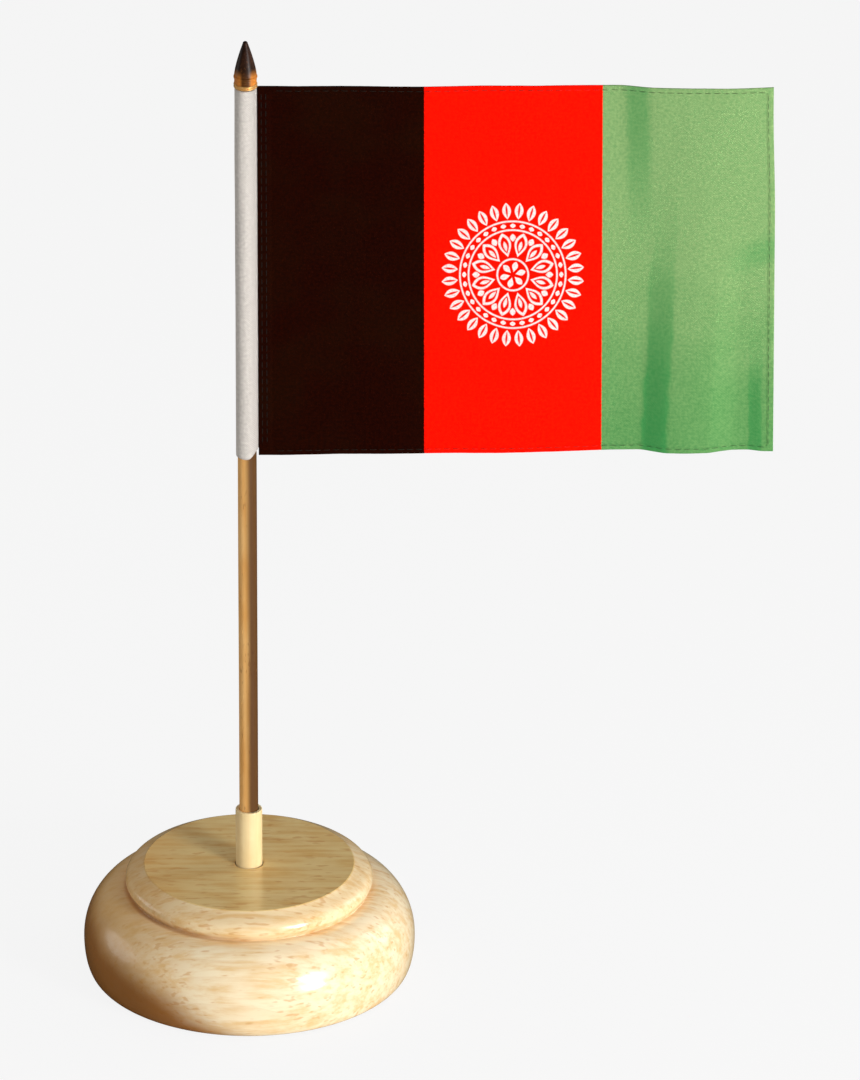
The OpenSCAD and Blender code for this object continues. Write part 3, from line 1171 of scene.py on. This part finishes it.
# Each soft panel: name, azimuth to the right of the front, elevation, distance, size and power
PANELS = (
    ("upper_pane", 42.5, 15, 0.9, (0.28, 0.26), 4.7),
    ("lower_pane", 42.5, 0, 0.9, (0.22, 0.12), 3.4),
    ("right_panel", 112, 20, 0.8, (0.24, 0.44), 0.9),
    ("left_panel", -100, 8, 0.8, (0.5, 0.36), 0.7),
)
LIT_POINT = (0.02, 0.0, 0.06)

# Brightness of the surround as the camera, a gloss and everything else sees it, and of the floor
BACKDROP = 0.93
GLOSS_FILL = 0.1
FILL = 0.36
FLOOR_GLOW = 0.875


def place_in_scene(name, data):
    """A new object in the scene."""
    thing = bpy.data.objects.new(name, data)
    bpy.context.scene.collection.objects.link(thing)
    return thing


def make_camera():
    """A long lens, level across, looking down on the stand."""
    data = bpy.data.cameras.new("camera")
    data.lens = LENS
    data.sensor_width = SENSOR
    data.clip_end = 50.0
    camera = place_in_scene("camera", data)
    camera.location = CAMERA_AT
    camera.rotation_euler = (math.radians(90 - CAMERA_DOWN), 0, 0)
    bpy.context.scene.camera = camera


def soft_light(name, azimuth, elevation, distance, size, power):
    """A soft oval panel that faces the stand."""
    data = bpy.data.lights.new(name, "AREA")
    data.shape = "ELLIPSE"
    data.size, data.size_y = size
    data.energy = power
    light = place_in_scene(name, data)
    a, e = math.radians(azimuth), math.radians(elevation)
    target = Vector(LIT_POINT)
    way = Vector((math.sin(a) * math.cos(e), -math.cos(a) * math.cos(e), math.sin(e)))
    light.location = target + way * distance
    light.rotation_euler = (target - light.location).to_track_quat("-Z", "Y").to_euler()


def make_floor():
    """A wide pale floor that glows evenly to the camera, so it shows only a faint shadow.

    It lies a hair below the felt, and a gloss sees it as dull brown.
    """
    greys = ((0.76, 0.76, 0.76, 1), (0.78, 0.78, 0.78, 1))
    seen_grey, gloss_brown = (0.08, 0.08, 0.08, 1), (0.14, 0.1, 0.06, 1)
    reach, below = 14.0, -0.05 * MM
    corners = [(x * reach, y * reach, below) for x, y in ((-1, -1), (1, -1), (1, 1), (-1, 1))]
    mesh = bpy.data.meshes.new("floor")
    mesh.from_pydata(corners, [], [(0, 1, 2, 3)])
    floor = place_in_scene("floor", mesh)
    material, sheet, shader, place = finish_material("pale_floor")
    ray = sheet.add("ShaderNodeLightPath").outputs
    seen = ray["Is Camera Ray"]
    lit = sheet.blend(sheet.noise(place, 40.0, 3.0), *greys)
    lit = sheet.blend(ray["Is Glossy Ray"], lit, gloss_brown)
    sheet.feed(shader, Base_Color=sheet.blend(seen, lit, seen_grey), Roughness=0.9)
    glow = sheet.times(seen, FLOOR_GLOW)
    sheet.feed(shader, Emission_Color=(1, 1, 1, 1), Emission_Strength=glow, Specular_IOR_Level=0.0)
    mesh.materials.append(material)


def make_lights():
    """A window of two panes at the right front, weak panels at both sides, a dim surround."""
    world = bpy.data.worlds.new("surround")
    world.use_nodes = True
    sheet = Sheet(world.node_tree)
    ray = sheet.add("ShaderNodeLightPath").outputs
    for_camera = sheet.times(ray["Is Camera Ray"], BACKDROP - FILL)
    for_gloss = sheet.times(ray["Is Glossy Ray"], GLOSS_FILL - FILL)
    strength = sheet.plus(sheet.plus(for_camera, for_gloss), FILL)
    back = world.node_tree.nodes["Background"].inputs
    sheet.feed(back, Color=(1, 1, 1, 1), Strength=strength)
    bpy.context.scene.world = world
    for panel in PANELS:
        soft_light(*panel)


# ---------------------------------------------------------------- the scene

bpy.context.scene.view_settings.view_transform = "Standard"
WOOD_GRAIN = wood_grain_group()
WEAVE = weave_group()
STRIPES = stripes_group()
ROSETTE = rosette_group()

make_camera()
make_lights()
make_floor()

make_base()
make_felt()
make_bush()
make_pole()
make_cap()
make_collar()
flag = make_flag()
sleeve = make_sleeve()
hem_stitches = make_hem_stitches()
seam_stitches = make_seam_stitches()
